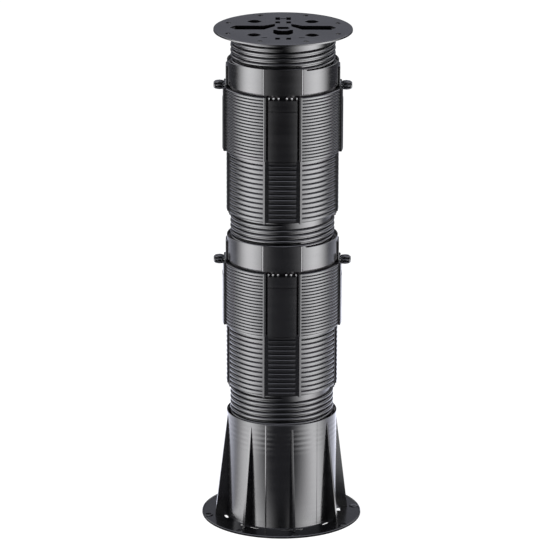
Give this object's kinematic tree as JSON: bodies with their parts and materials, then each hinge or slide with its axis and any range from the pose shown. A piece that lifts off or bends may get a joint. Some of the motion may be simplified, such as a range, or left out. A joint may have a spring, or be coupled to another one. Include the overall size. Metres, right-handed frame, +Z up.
{
  "type": "decking pedestal",
  "caption": "Adjustable round screw pedestal for raised decking: flanged ribbed base, two stacked ribbed screw couplers and a round slotted head plate.",
  "frame": {"origin": "centre of the base's underside, on the floor", "axes": "+Z up along the screw axis; -Y is the front window of both couplers; the lugs lie along X"},
  "size_m": [0.1754, 0.1754, 0.5508],
  "materials": {
    "black_plastic": "satin moulded polypropylene"
  },
  "bodies": {
    "base": {"base": "black_plastic"},
    "coupler_lower": {"coupler_lower": "black_plastic"},
    "coupler_upper": {"coupler_upper": "black_plastic"},
    "head": {"head": "black_plastic"}
  },
  "joints": [
    {"name": "lower_screw", "type": "slide", "parent": "base", "child": "coupler_lower", "axis": [0, 0, 1], "range_m": [-0.0311, 0.0536]},
    {"name": "upper_screw", "type": "slide", "parent": "coupler_lower", "child": "coupler_upper", "axis": [0, 0, 1], "range_m": [-0.0243, 0.0604]},
    {"name": "head_screw", "type": "slide", "parent": "coupler_upper", "child": "head", "axis": [0, 0, 1], "range_m": [-0.0289, 0.0558]}
  ]
}
